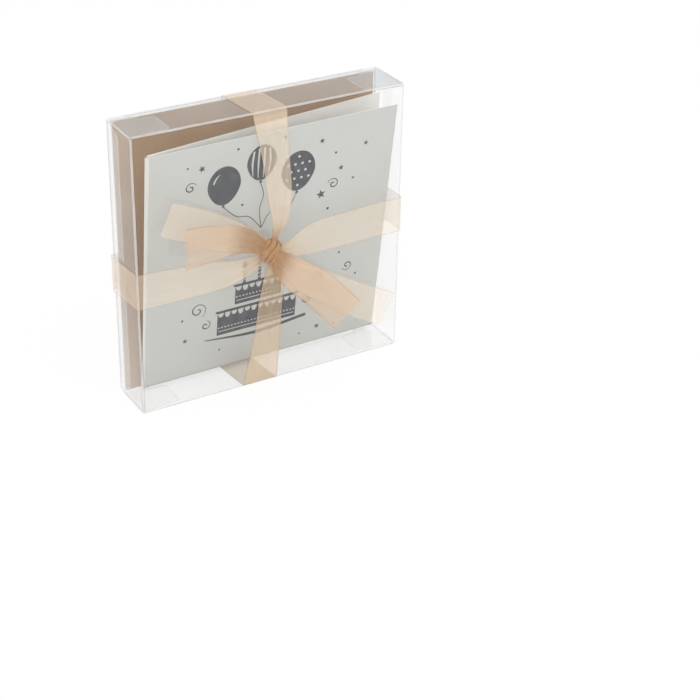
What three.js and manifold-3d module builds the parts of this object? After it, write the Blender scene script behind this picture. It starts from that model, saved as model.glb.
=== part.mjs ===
// A clear folding gift box with a tuck lid at its top and at its bottom. It is packed with a
// square greeting card and its envelope, and tied crosswise with a sheer ribbon and a bow.
//
// Millimetres, +Z up. The front of the box faces -Y, and +X is to the right of someone who
// looks at the front. The origin is on the ground, under the middle of the box.

import * as THREE from 'three';
import { mergeVertices } from 'three/addons/utils/BufferGeometryUtils.js';
import Module from 'manifold-3d';

const wasm = await Module();
wasm.setup();

// The box, over its outer faces
const BOX_WIDTH = 155.5;
const BOX_DEPTH = 28.6;
const BOX_HEIGHT = 155.5;

// The clear sheet that the box is folded from
const FILM = 0.3;
const CORNER_RADIUS = 0.6;
const GLUE_FLAP_WIDTH = 12;
const GLUE_FLAP_TAPER = 5;

// The lids. A score is the gap from a fold's axis to the panel that swings on it.
const LID_SCORE = 0.5;
const LID_SIDE_PLAY = 0.4;
const TUCK_SCORE = 1.1;
const TUCK_PLAY = 0.6;
const TUCK_LENGTH = 15;
const TUCK_SIDE_PLAY = 1.4;
const TUCK_TAPER = 1.5;
const TUCK_CORNER = 6;
const SLIT_LENGTH = 9;

// The dust flaps, which lie under a shut lid
const DUST_LENGTH = 22.8;
const DUST_UNDER_LID = 0.15;
const DUST_FRONT_PLAY = 0.9;
const DUST_FRONT_TAPER = 2.4;
const DUST_REAR_PLAY = 3;
const DUST_SHOULDER = 12;
const DUST_STEP = 4.6;
const DUST_CORNER = 2;

// The envelope, which stands at the back of the box with its flaps to the rear
const REST_GAP = 0.3;
const PAPER = 0.25;
const ENVELOPE_PLAY = { left: 0.85, right: 3.2, top: 0.6, rear: 2.15 };
const FLAP_INSET = 1.5;
const FLAP_POINT = 9;
const FLAP_CORNER = 10;

// The card, square and smaller than the box by its room, folded along its left edge. It leans
// forward until its top meets the front panel. Both leaves stand in front of the envelope.
const CARD_ROOM = 12.3;
const CARD_STOCK = 0.35;
const CARD_SPINE_PLAY = 10.15;
const CARD_FOOT_PLAY = 2.64;
const CARD_BACK_PLAY = 0.8;
const CARD_BACK_LEAN = 2.8;
const CARD_SPINE_GAP = 0.3;
const CARD_MISFOLD = 1;
const CARD_TILT = 0.45;

// The ribbon. Where a band crosses an edge of the box is given from the middle of that edge.
const RIBBON_WIDTH = 20;
const RIBBON_FILM = 0.2;
const BAND_TOP = { front: -1.6, back: -4 };
const BAND_BOTTOM = { front: -8.2, back: -10.5 };
const BAND_LEFT = { front: -6.8, back: -8.8 };
const BAND_RIGHT = { front: 2.9, back: 3.3 };
const BAND_STEP = 1.5;

// The bow, from a knot on the middle of the front panel. Its sizes are for a 20 mm ribbon, and a
// wider ribbon makes a bow that is larger in the same share.
const BOW_SCALE = RIBBON_WIDTH / 20;
const KNOT = { x: -3.6, out: 5, z: 2 };
const KNOT_RADII = { across: 6.2, along: 6.8, out: 4.6 };
const KNOT_TURN = -57;
const KNOT_PLEATS = 6;
const KNOT_PLEAT_DEPTH = 0.05;
const KNOT_CLEARANCE = 0.4;
const BOW_FILM = 0.4;
const RIBBON_PLEATS = 3;
const BOW_PLEAT_DEPTH = 0.8;
const BAND_PLEAT_DEPTH = 0.3;

const AIR = 0.05;
const FRONT = -BOX_DEPTH / 2;
const BACK = BOX_DEPTH / 2;
const LEFT = -BOX_WIDTH / 2;
const RIGHT = BOX_WIDTH / 2;
const MIDDLE = BOX_HEIGHT / 2;
const DEGREES = Math.PI / 180;

const clearFilm = new THREE.MeshStandardMaterial({
  name: 'clear_film', color: '#eef3f6', roughness: 0.08, transparent: true, opacity: 0.25,
});
const kraft = new THREE.MeshStandardMaterial({ name: 'kraft_paper', color: '#a58a6c', roughness: 0.9 });
const cardStock = new THREE.MeshStandardMaterial({ name: 'card_stock', color: '#c9cbc6', roughness: 0.85 });
const organza = new THREE.MeshStandardMaterial({
  name: 'sheer_ribbon', color: '#dfb78c', roughness: 0.45, transparent: true, opacity: 0.6,
});

const v3 = (x, y, z) => new THREE.Vector3(x, y, z);

// A drawn outline is turned to lie flat, to stand facing the front, or to stand facing a side.
const LIE = {
  flat: new THREE.Matrix4(),
  front: new THREE.Matrix4().makeBasis(v3(1, 0, 0), v3(0, 0, 1), v3(0, -1, 0)),
  side: new THREE.Matrix4().makeBasis(v3(0, 1, 0), v3(0, 0, 1), v3(1, 0, 0)),
};

function named(name, geometry, material, place = [0, 0, 0]) {
  const mesh = new THREE.Mesh(geometry, material);
  mesh.name = name;
  mesh.position.set(...place);
  return mesh;
}

// A sheet with the given outline. Its thickness grows upwards, forwards or to the right.
function cutSheet(outline, thickness, lie) {
  const options = { depth: thickness, bevelEnabled: false, curveSegments: 4 };
  return new THREE.ExtrudeGeometry(outline, options).applyMatrix4(LIE[lie]);
}

// An outline through corners [x, y, radius], each rounded to its radius.
function outline(corners) {
  const shape = new THREE.Shape();
  corners.forEach(([x, y, radius = 0], i) => {
    const corner = new THREE.Vector2(x, y);
    const [before, after] = [-1, 1].map((step) => {
      const [nx, ny] = corners[(i + step + corners.length) % corners.length];
      return new THREE.Vector2(nx, ny).sub(corner).setLength(radius).add(corner);
    });
    if (i === 0) shape.moveTo(before.x, before.y);
    else shape.lineTo(before.x, before.y);
    if (radius > 0) shape.quadraticCurveTo(x, y, after.x, after.y);
  });
  shape.closePath();
  return shape;
}

const rectangle = (x0, y0, x1, y1) => outline([[x0, y0], [x1, y0], [x1, y1], [x0, y1]]);

function shift(geometry, offset) {
  const points = geometry.attributes.position;
  for (let i = 0; i < points.count; i++) {
    const point = new THREE.Vector3().fromBufferAttribute(points, i);
    points.setXYZ(i, ...point.add(offset(point)).toArray());
  }
  return geometry;
}

// A closed solid through rings of points. Each ring runs along one face and back along the other.
// Both faces are split into triangles along the same diagonals, so a twisted sheet keeps its thickness.
function loft(rings) {
  const count = rings[0].length;
  const last = (rings.length - 1) * count;
  const index = [];
  const quad = (a, b, c, d) => index.push(a, b, c, a, c, d);
  for (let here = 0; here < last; here += count) {
    for (let i = 0; i < count; i++) {
      const j = (i + 1) % count;
      const corners = [here + i, here + j, here + count + j, here + count + i];
      if (i < count / 2) quad(...corners);
      else quad(...corners.slice(1), corners[0]);
    }
  }
  for (let i = 0; i + 1 < count / 2; i++) {
    const back = count - 1 - i;
    quad(back, back - 1, i + 1, i);
    quad(last + i, last + i + 1, last + back - 1, last + back);
  }
  const geometry = new THREE.BufferGeometry();
  const points = rings.flat();
  const values = points.flatMap((point) => point.toArray());
  geometry.setAttribute('position', new THREE.Float32BufferAttribute(values, 3));
  geometry.setIndex(enclosed(points, index) < 0 ? index.reverse() : index);
  return geometry;
}

function enclosed(points, index) {
  let volume = 0;
  for (let i = 0; i < index.length; i += 3) {
    const [a, b, c] = index.slice(i, i + 3).map((corner) => points[corner]);
    volume += a.dot(b.clone().cross(c)) / 6;
  }
  return volume;
}

function cutAway(geometry, tool) {
  const solid = ({ attributes, index }) => new wasm.Manifold(new wasm.Mesh({
    numProp: 3,
    vertProperties: Float32Array.from(attributes.position.array),
    triVerts: Uint32Array.from(index.array),
  }));
  const mesh = solid(geometry).subtract(solid(tool)).getMesh();
  const rest = new THREE.BufferGeometry();
  rest.setAttribute('position', new THREE.BufferAttribute(mesh.vertProperties, 3));
  rest.setIndex(new THREE.BufferAttribute(mesh.triVerts, 1));
  return rest;
}

// The tube: four walls. The two large ones are bent round at their upright edges.

const lidAxis = { y: FRONT + FILM / 2, z: FILM / 2 };
const tuckAxis = { y: BACK - FILM - TUCK_PLAY - FILM / 2, z: FILM / 2 };
const dustAxis = { x: RIGHT - FILM / 2, z: FILM + DUST_UNDER_LID + FILM / 2 };
const floor = dustAxis.z + FILM / 2;
const envelopeFront = BACK - FILM - ENVELOPE_PLAY.rear - 3 * (PAPER + AIR) - PAPER;

// A large wall seen from above. Its bends turn towards +Y for inwards = 1, or -Y for -1.
function bentWall(from, to, outer, inwards) {
  const shape = new THREE.Shape();
  const arc = (x, radius, a, b) => {
    const clockwise = (b < a) === (inwards > 0);
    shape.absarc(x, outer + inwards * CORNER_RADIUS, radius, inwards * a, inwards * b, clockwise);
  };
  arc(from + CORNER_RADIUS, CORNER_RADIUS, -Math.PI, -Math.PI / 2);
  arc(to - CORNER_RADIUS, CORNER_RADIUS, -Math.PI / 2, 0);
  arc(to - CORNER_RADIUS, CORNER_RADIUS - FILM, 0, -Math.PI / 2);
  arc(from + CORNER_RADIUS, CORNER_RADIUS - FILM, -Math.PI / 2, -Math.PI);
  return shape;
}

function buildTube() {
  const tube = new THREE.Group();
  const lap = FILM + AIR;
  const front = cutSheet(bentWall(LEFT, RIGHT, FRONT, 1), BOX_HEIGHT - 2 * lidAxis.z, 'flat');
  const back = cutSheet(bentWall(LEFT + lap, RIGHT, BACK, -1), BOX_HEIGHT, 'flat');
  tube.add(named('front_panel', front, clearFilm, [0, 0, lidAxis.z]));
  tube.add(named('back_panel', back, clearFilm));

  const bend = { front: FRONT + CORNER_RADIUS, back: BACK - CORNER_RADIUS };
  const [low, high] = [dustAxis.z, BOX_HEIGHT - dustAxis.z];
  const side = rectangle(bend.front, low, bend.back, high);
  tube.add(named('left_side_panel', cutSheet(side, FILM, 'side'), clearFilm, [LEFT, 0, 0]));
  tube.add(named('right_side_panel', cutSheet(side, FILM, 'side'), clearFilm, [RIGHT - FILM, 0, 0]));

  const edge = BACK - GLUE_FLAP_WIDTH;
  const glueFlap = outline([
    [bend.back, low], [bend.back, high], [edge, high - GLUE_FLAP_TAPER], [edge, low + GLUE_FLAP_TAPER],
  ]);
  tube.add(named('glue_flap', cutSheet(glueFlap, FILM, 'side'), clearFilm, [LEFT + lap, 0, 0]));
  return tube;
}

// One end of the box. Its origin is in the middle of the end, and its +Z points out of the box.

function lidOutline() {
  const half = RIGHT - LID_SIDE_PLAY;
  const fold = half - SLIT_LENGTH;
  const hinge = lidAxis.y + LID_SCORE;
  const slit = tuckAxis.y - LID_SCORE;
  return outline([
    [-half, hinge], [half, hinge], [half, slit], [fold, slit],
    [fold, tuckAxis.y], [-fold, tuckAxis.y], [-fold, slit], [-half, slit],
  ]);
}

function tuckOutline() {
  const root = RIGHT - TUCK_SIDE_PLAY;
  const tip = root - TUCK_TAPER;
  return outline([
    [-root, -TUCK_SCORE], [root, -TUCK_SCORE],
    [tip, -TUCK_LENGTH, TUCK_CORNER], [-tip, -TUCK_LENGTH, TUCK_CORNER],
  ]);
}

// A dust flap as it lies, from its fold along x = 0. The slit in the lid catches on its shoulder.
function dustOutline(inwards) {
  const front = FRONT + DUST_FRONT_PLAY;
  const rear = BACK - DUST_REAR_PLAY;
  const corners = [
    [LID_SCORE, front], [DUST_LENGTH, front + DUST_FRONT_TAPER, DUST_CORNER],
    [DUST_LENGTH, rear - DUST_STEP, DUST_CORNER], [DUST_SHOULDER + DUST_STEP / 2, rear - DUST_STEP],
    [DUST_SHOULDER, rear], [LID_SCORE, rear],
  ];
  return outline(corners.map(([x, y, radius]) => [inwards * x, y, radius]));
}

function buildEnd(end, [negativeSide, positiveSide]) {
  const group = new THREE.Group();
  const lid = cutSheet(lidOutline(), FILM, 'flat');
  const tuck = cutSheet(tuckOutline(), FILM, 'front');
  group.add(named(`${end}_lid`, lid, clearFilm, [0, 0, -FILM]));
  group.add(named(`${end}_tuck_flap`, tuck, clearFilm, [0, tuckAxis.y + FILM / 2, -tuckAxis.z]));
  for (const [side, inwards] of [[negativeSide, 1], [positiveSide, -1]]) {
    const flap = cutSheet(dustOutline(inwards), FILM, 'flat');
    const place = [-inwards * dustAxis.x, 0, -floor];
    group.add(named(`${end}_dust_flap_${side}`, flap, clearFilm, place));
  }
  return group;
}

// What the box holds

function buildEnvelope() {
  const group = new THREE.Group();
  const left = LEFT + 2 * FILM + AIR + ENVELOPE_PLAY.left;
  const right = RIGHT - FILM - ENVELOPE_PLAY.right;
  const foot = floor + REST_GAP;
  const height = BOX_HEIGHT - floor - ENVELOPE_PLAY.top - foot;
  const half = (right - left) / 2;
  const centre = height / 2;
  const add = (name, shape, layer) => {
    const y = BACK - FILM - ENVELOPE_PLAY.rear - layer * (PAPER + AIR);
    group.add(named(name, cutSheet(shape, PAPER, 'front'), kraft, [left + half, y, foot]));
  };
  const sideFlap = (side) => outline([
    [side * half, FLAP_INSET], [side * FLAP_INSET, centre, FLAP_CORNER],
    [side * half, height - FLAP_INSET],
  ]);
  const flap = (fold, point) => outline([
    [FLAP_INSET - half, fold], [0, point, FLAP_CORNER], [half - FLAP_INSET, fold],
  ]);
  add('envelope_face', rectangle(-half, 0, half, height), 3);
  add('envelope_side_flap_left', sideFlap(-1), 2);
  add('envelope_side_flap_right', sideFlap(1), 2);
  add('envelope_bottom_flap', flap(0, centre + FLAP_POINT), 1);
  add('envelope_top_flap', flap(height, centre - FLAP_POINT), 0);
  return group;
}

function buildCard() {
  const group = new THREE.Group();
  const backLean = CARD_BACK_LEAN * DEGREES;
  const size = Math.min(BOX_WIDTH, BOX_HEIGHT) - CARD_ROOM;
  const spine = LEFT + CARD_SPINE_PLAY;
  const footY = envelopeFront - CARD_FOOT_PLAY;
  const topY = FRONT + FILM + REST_GAP + CARD_STOCK;
  const lean = Math.asin((footY - topY) / size);
  const foot = v3(spine, footY, floor + REST_GAP + CARD_STOCK);
  const front = cutSheet(rectangle(0, 0, size, size), CARD_STOCK, 'front').rotateX(lean);
  group.add(named('card_front_leaf', front, cardStock, foot.toArray()));

  // The back leaf stands more upright than the front one, so the fold holds it in a slight twist.
  const up = v3(0, -Math.sin(lean), Math.cos(lean));
  const behind = v3(0, CARD_STOCK + CARD_SPINE_GAP, 0);
  const fold = foot.clone().add(behind).addScaledVector(up, CARD_MISFOLD);
  const backUp = v3(0, -Math.sin(backLean), Math.cos(backLean));
  const edgeAt = (height, y) => {
    const fromFold = fold.clone().addScaledVector(up, height);
    const x = spine + Math.sqrt(size ** 2 - (y - fromFold.y) ** 2);
    return v3(x, y, foot.z + height * backUp.z);
  };
  const rings = [0, 0.25, 0.5, 0.75, 1].map((across) => {
    const faces = [-CARD_STOCK, 0].map((depth) => [0, size].map((height) => {
      const near = fold.clone().addScaledVector(up, height);
      const far = edgeAt(height, envelopeFront - CARD_BACK_PLAY + height * backUp.y);
      return near.lerp(far, across).add(v3(0, depth, 0));
    }));
    return [...faces[0], ...faces[1].reverse()];
  });
  group.add(named('card_back_leaf', loft(rings), cardStock));

  // The card stands a little crooked, on the lower end of its spine.
  const tilt = new THREE.Matrix4().makeRotationY(-CARD_TILT * DEGREES);
  const pivot = v3(spine, 0, foot.z);
  group.applyMatrix4(tilt.setPosition(pivot.clone().sub(pivot.clone().applyMatrix4(tilt))));
  return group;
}

// The ribbon

// A strip along stations [right, out, up, halfRight, halfUp]. The last two lead from its middle to
// its edge. Where it is gathered to less than its full width, it stands in pleats.
function strip(stations, { thickness, pleatDepth, steps, lying = false }) {
  const centres = new THREE.CatmullRomCurve3(stations.map(([x, out, z]) => v3(x, -out, z)));
  const halves = new THREE.CatmullRomCurve3(stations.map((station) => v3(station[3], 0, station[4])));
  const across = 4 * RIBBON_PLEATS;
  const rings = [];
  for (let i = 0; i <= steps; i++) {
    const centre = centres.getPoint(i / steps);
    const half = halves.getPoint(i / steps);
    const gather = Math.max(0, 1 - 2 * half.length() / RIBBON_WIDTH);
    const normal = lying ? v3(0, -1, 0) : centres.getTangent(i / steps).cross(half).normalize();
    const face = (side) => Array.from({ length: across + 1 }, (_, k) => {
      const wave = Math.cos(2 * Math.PI * RIBBON_PLEATS * k / across) + (lying ? 1 : 0);
      const offset = pleatDepth * gather * wave + side * thickness / 2;
      return centre.clone().addScaledVector(half, 2 * k / across - 1).addScaledVector(normal, offset);
    });
    rings.push([...face(1), ...face(-1).reverse()]);
  }
  return loft(rings);
}

// A band on the front panel, along stations [right, up, shareRight, shareUp] from its middle. The
// last two are how much of the ribbon's width is left after gathering, across and up.
function frontBand(stations) {
  const half = RIBBON_WIDTH / 2;
  const placed = stations.map(([x, z, across, up]) => [x, RIBBON_FILM / 2, z, across * half, up * half]);
  return strip(placed, {
    thickness: RIBBON_FILM, pleatDepth: BAND_PLEAT_DEPTH, steps: 16, lying: true,
  });
}

function buildFrontBands() {
  const group = new THREE.Group();
  const end = MIDDLE - lidAxis.z - AIR;
  const side = RIGHT - CORNER_RADIUS;
  const bands = {
    ribbon_front_upper: [
      [BAND_TOP.front, end, 1, 0], [1.6, 0.67 * end, 0.78, 0], [3.9, 0.39 * end, 0.7, 0],
      [4.4, 0.27 * end, 0.57, 0], [4, 0.14 * end, 0.38, 0], [1.5, 0.08 * end, 0.3, 0],
    ],
    ribbon_front_lower: [
      [BAND_BOTTOM.front, -end, 1, 0], [-3.8, -0.62 * end, 0.78, 0], [-2.5, -0.45 * end, 0.74, 0],
      [-1, -0.3 * end, 0.66, 0], [-0.5, -0.17 * end, 0.48, 0], [-1, -0.065 * end, 0.32, 0],
    ],
    ribbon_front_left: [
      [-side, BAND_LEFT.front, 0, 1], [-0.75 * side, -6.8, 0, 0.96], [-0.49 * side, -7.2, 0, 0.86],
      [-0.31 * side, -7.8, 0, 0.7], [-0.18 * side, -6.5, 0, 0.5], [-0.09 * side, -3.5, 0, 0.35],
    ],
    ribbon_front_right: [
      [side, BAND_RIGHT.front, 0, 1], [0.65 * side, 2, 0, 0.96], [0.22 * side, 0.8, 0, 0.85],
      [0.14 * side, -1.5, 0, 0.56], [0.08 * side, -2, 0, 0.38], [0.045 * side, -1, 0, 0.3],
    ],
  };
  for (const [name, stations] of Object.entries(bands)) {
    group.add(named(name, frontBand(stations), organza, [0, FRONT, MIDDLE]));
  }
  return group;
}

// A band across a lid, with the lid's outer face at the given height
function lidBand({ front, back }) {
  const half = RIBBON_WIDTH / 2;
  const [near, far] = [lidAxis.y + LID_SCORE, tuckAxis.y];
  return cutSheet(outline([
    [front - half, near], [front + half, near], [back + half, far], [back - half, far],
  ]), RIBBON_FILM, 'flat');
}

// A band down one side, with its turns on to the front and the back of the box
function sideBand(side, { front, back }) {
  const [inner, outer] = [side * RIGHT, side * (RIGHT + RIBBON_FILM)];
  const end = side * (RIGHT - CORNER_RADIUS);
  const innerBend = CORNER_RADIUS - 2 * AIR;
  const outerBend = CORNER_RADIUS + RIBBON_FILM;
  const profile = outline([
    [end, FRONT - RIBBON_FILM], [outer, FRONT - RIBBON_FILM, outerBend],
    [outer, BACK + RIBBON_FILM, outerBend], [end, BACK + RIBBON_FILM],
    [end, BACK], [inner, BACK, innerBend], [inner, FRONT, innerBend], [end, FRONT],
  ]);
  const rise = (y) => THREE.MathUtils.mapLinear(y, FRONT, BACK, front, back);
  const band = cutSheet(profile, RIBBON_WIDTH, 'flat');
  return shift(band, ({ y }) => v3(0, 0, rise(y) - RIBBON_WIDTH / 2));
}

function backBand() {
  const end = RIGHT - CORNER_RADIUS;
  const half = RIBBON_WIDTH / 2;
  return cutSheet(outline([
    [-end, BAND_LEFT.back - half], [end, BAND_RIGHT.back - half],
    [end, BAND_RIGHT.back + half], [-end, BAND_LEFT.back + half],
  ]), RIBBON_FILM, 'front');
}

// Half of the upright band on the back. It lies over the level band in the middle, and turns
// over the end of the box on to the lid. It is drawn for the top, where ends = 1.
function uprightBackBand(ends) {
  const crossing = RIBBON_WIDTH / 2 + BAND_STEP;
  const level = (BAND_LEFT.back + BAND_RIGHT.back) / 2;
  const step = level * ends + crossing;
  const meet = level * ends + AIR;
  const lip = tuckAxis.y + FILM / 2;
  const [under, over, raised] = [BACK, BACK + RIBBON_FILM, BACK + 2 * RIBBON_FILM];
  const profile = [
    [lip, MIDDLE], [under, MIDDLE], [under, step + BAND_STEP], [over, step], [over, meet],
    [raised, meet], [raised, step], [over, step + BAND_STEP],
    [over, MIDDLE + RIBBON_FILM], [lip, MIDDLE + RIBBON_FILM],
  ];
  const band = cutSheet(outline(profile.map(([y, z]) => [y, ends * z])), RIBBON_WIDTH, 'side');
  const centre = (z) => THREE.MathUtils.mapLinear(z, -MIDDLE, MIDDLE, BAND_BOTTOM.back, BAND_TOP.back);
  return shift(band, ({ z }) => v3(centre(z) - RIBBON_WIDTH / 2, 0, 0));
}

function buildRibbon() {
  const group = new THREE.Group();
  const add = (name, geometry, y, z) => group.add(named(name, geometry, organza, [0, y, z]));
  add('ribbon_over_lid', lidBand(BAND_TOP), 0, BOX_HEIGHT);
  add('ribbon_under_base', lidBand(BAND_BOTTOM), 0, -RIBBON_FILM);
  add('ribbon_left_side', sideBand(-1, BAND_LEFT), 0, MIDDLE);
  add('ribbon_right_side', sideBand(1, BAND_RIGHT), 0, MIDDLE);
  add('ribbon_back_across', backBand(), BACK + RIBBON_FILM, MIDDLE);
  add('ribbon_back_upper', uprightBackBand(1), 0, MIDDLE);
  add('ribbon_back_lower', uprightBackBand(-1), 0, MIDDLE);
  group.add(buildFrontBands());
  return group;
}

// The bow

// The knot is a pleated wrap round the middle of the bow. It is turned to lie across the loops.
function knot(pleatDepth, grow) {
  const rows = 4 * KNOT_PLEATS;
  const sphere = new THREE.SphereGeometry(1, 20, rows);
  sphere.deleteAttribute('normal');
  sphere.deleteAttribute('uv');
  const body = mergeVertices(sphere, 1e-4);
  shift(body, (point) => {
    const pleat = Math.cos(2 * KNOT_PLEATS * Math.acos(THREE.MathUtils.clamp(point.y, -1, 1)));
    return point.clone().setY(0).multiplyScalar(-pleatDepth * (1 - pleat));
  });
  const [across, along, out] = [KNOT_RADII.across, KNOT_RADII.along, KNOT_RADII.out];
  body.scale(across * BOW_SCALE + grow, along * BOW_SCALE + grow, out * BOW_SCALE + grow);
  body.applyMatrix4(LIE.front);
  body.rotateY(KNOT_TURN * DEGREES);
  return body.translate(0, -KNOT.out * BOW_SCALE, 0);
}

// Stations are [right, out, up, halfRight, halfUp]: right and up from the knot, out from the panel.
const BOW_STRIPS = {
  bow_left_loop: [
    [-2, 4, 1, 0.5, 3], [-6, 3.9, 4, 0.9, 5], [-10.5, 4.2, 7, 1.3, 6], [-18.5, 5, 10.5, 1.5, 7],
    [-39, 6.5, 13, -1.5, 10.5], [-50, 8, 14, 0, 11], [-51, 10.5, 15, 0, 11],
    [-42.5, 12.5, 16.5, -1.8, 10.5], [-32.5, 12.5, 16, 0.4, 9.5], [-22, 11, 14.5, 1.5, 7],
    [-13.5, 9, 10, 1.3, 6], [-7, 7.2, 5, 0.9, 5], [-2, 6, 1.5, 0.5, 3],
  ],
  bow_right_loop: [
    [1, 4, -2, 2, 2], [4, 4.2, -7, 3.6, 4], [15, 5.2, -18, 4.3, 8], [27.5, 5.6, -28.5, 6.7, 7],
    [37, 6, -39, 7.4, 7], [45, 7.5, -48, 8, 6.5], [43.5, 10, -46.5, 8, 6.5],
    [33, 12, -34.5, 7.4, 7], [23, 12.5, -23.5, 6.7, 7], [11.5, 11, -14, 4.3, 8],
    [5.5, 9, -8, 3.9, 6], [1, 6.5, -2, 2, 2],
  ],
  bow_left_tail: [
    [-2.5, 2.8, 1.5, 0, 3], [-6, 2, 4, 0.5, 4.5], [-15.5, 2.4, 9, 2.9, 7], [-29.5, 3.2, 16, 6, 7.5],
    [-44, 4, 24, 5.5, 8], [-58.5, 4, 30.5, 4, 8.5],
  ],
  bow_right_tail: [
    [2, 2.8, -2.5, 2, 2], [5.5, 2, -7, 2.2, 3], [16, 2.6, -18, 3, 6], [30.5, 3.4, -28.5, 4.3, 7.5],
    [42.5, 4, -36, 5.2, 7.5], [58, 4, -45.5, 5.3, 8.5], [73, 3, -54, 5.2, 8.6],
  ],
};

function buildBow() {
  const group = new THREE.Group();
  group.position.set(KNOT.x, FRONT, MIDDLE + KNOT.z);
  group.add(named('bow_knot', knot(KNOT_PLEAT_DEPTH, 0), organza));
  const room = knot(0, KNOT_CLEARANCE);
  for (const [name, stations] of Object.entries(BOW_STRIPS)) {
    const steps = 3 * (stations.length - 1);
    const grown = stations.map((station) => station.map((value) => value * BOW_SCALE));
    const run = strip(grown, { thickness: BOW_FILM, pleatDepth: BOW_PLEAT_DEPTH, steps });
    group.add(named(name, cutAway(run, room), organza));
  }
  return group;
}

function buildBox() {
  const box = new THREE.Group();
  const top = buildEnd('top', ['left', 'right']);
  const bottom = buildEnd('bottom', ['right', 'left']);
  top.position.z = BOX_HEIGHT;
  bottom.rotation.y = Math.PI;
  box.add(buildTube(), top, bottom, buildEnvelope(), buildCard(), buildRibbon(), buildBow());
  box.position.z = RIBBON_FILM;
  return box;
}

const part = new THREE.Group();
part.add(buildBox());

export default part;
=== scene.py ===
# %% [markdown]
# A clear gift box, tied with sheer ribbon
#
# The box is folded from one clear plastic sheet. It holds a grey card in front of a brown
# envelope, and an organza ribbon is tied round it with a bow. The rigid pieces come from the
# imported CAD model. Blender adds what a solid model leaves out: the folds of the sheet, the sheer
# cloth, the print on the card, and every finish.

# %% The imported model
import math

import bmesh
import bpy
import numpy as np
from mathutils import Matrix, Vector


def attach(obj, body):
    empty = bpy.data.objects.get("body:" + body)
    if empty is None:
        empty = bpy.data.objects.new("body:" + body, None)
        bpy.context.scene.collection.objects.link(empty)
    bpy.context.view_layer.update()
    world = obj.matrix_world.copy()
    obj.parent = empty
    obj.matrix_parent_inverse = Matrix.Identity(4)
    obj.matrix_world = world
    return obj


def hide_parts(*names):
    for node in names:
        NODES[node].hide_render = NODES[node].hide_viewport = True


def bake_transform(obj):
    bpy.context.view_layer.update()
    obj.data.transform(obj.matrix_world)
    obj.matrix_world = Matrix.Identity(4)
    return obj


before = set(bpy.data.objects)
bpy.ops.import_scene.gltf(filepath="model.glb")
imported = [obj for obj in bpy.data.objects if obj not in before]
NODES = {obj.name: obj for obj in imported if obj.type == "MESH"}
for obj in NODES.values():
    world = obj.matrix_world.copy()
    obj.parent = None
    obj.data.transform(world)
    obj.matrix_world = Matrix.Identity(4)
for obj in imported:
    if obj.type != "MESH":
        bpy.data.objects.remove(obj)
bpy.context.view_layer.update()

# Lengths are in millimetres, from the ground below the middle of the box. MM makes them metres.
MM = 0.001
GROUND = 0.2  # the ribbon under the base lifts the box this much
WIDTH, DEPTH, HEIGHT = 155.5, 28.6, 155.5
LEFT, RIGHT = -WIDTH / 2, WIDTH / 2
FRONT, BACK = -DEPTH / 2, DEPTH / 2
TOP = HEIGHT / 2  # the top of the box, from its middle
MIDDLE = HEIGHT / 2 + GROUND  # the level of that middle
print("pieces from CAD:", len(NODES))


# %% [markdown]
# The camera
#
# Four upright and eight level edges of the box were matched to find where the camera stood. It
# looks down on the box from its left, with a lens of about 89 mm on a 36 mm sensor.

# %% The camera
CAMERA_PLACE = (-0.38483, -0.72388, 0.47816)
CAMERA_AHEAD = (0.4525, 0.7415, -0.4954)
CAMERA_ROLL = math.radians(1.209)
LENS, SENSOR, NEAREST = 88.62, 36, 0.01


def look(name, place, direction, roll, lens):
    camera = bpy.data.objects.new(name, bpy.data.cameras.new(name))
    bpy.context.collection.objects.link(camera)
    ahead = Vector(direction).normalized()
    right = ahead.cross(Vector((0, 0, 1))).normalized()
    up = right.cross(ahead)
    turned_right = right * math.cos(roll) + up * math.sin(roll)
    turned_up = up * math.cos(roll) - right * math.sin(roll)
    turn = Matrix((turned_right, turned_up, -ahead)).transposed()
    camera.matrix_world = Matrix.Translation(place) @ turn.to_4x4()
    camera.data.lens = lens
    camera.data.sensor_width = SENSOR
    camera.data.clip_start = NEAREST
    return camera


bpy.context.scene.camera = look("camera", CAMERA_PLACE, CAMERA_AHEAD, CAMERA_ROLL, LENS)
print("camera stands", round(Vector(CAMERA_PLACE).length, 2), "m away, lens", LENS, "mm")


# %% [markdown]
# Small helpers for node materials
#
# Every finish below is a node graph. These helpers add a node, join sockets, and give back the
# socket that the next node needs, so a material reads as a short list. Colours are written as
# a screen shows them, 0 to 255 for red, green and blue.

# %% Helpers for nodes
def feed(tree, made, **inputs):
    """Sets or joins the inputs of a node. _ stands for a space, and at0 is the first input."""
    for key, value in inputs.items():
        numbered = key.startswith("at") and key[2:].isdigit()
        socket = made.inputs[int(key[2:]) if numbered else key.replace("_", " ")]
        if isinstance(value, bpy.types.NodeSocket):
            tree.links.new(value, socket)
        else:
            socket.default_value = value
    return made


def node(tree, kind, settings=None, **inputs):
    made = tree.nodes.new(kind)
    for key, value in (settings or {}).items():
        setattr(made, key, value)
    return feed(tree, made, **inputs)


def new_material(name):
    material = bpy.data.materials.new(name)
    material.use_nodes = True
    tree = material.node_tree
    tree.nodes.clear()
    shader = node(tree, "ShaderNodeBsdfPrincipled")
    node(tree, "ShaderNodeOutputMaterial", Surface=shader.outputs["BSDF"])
    print("material:", name)
    return material, tree, shader


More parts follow.
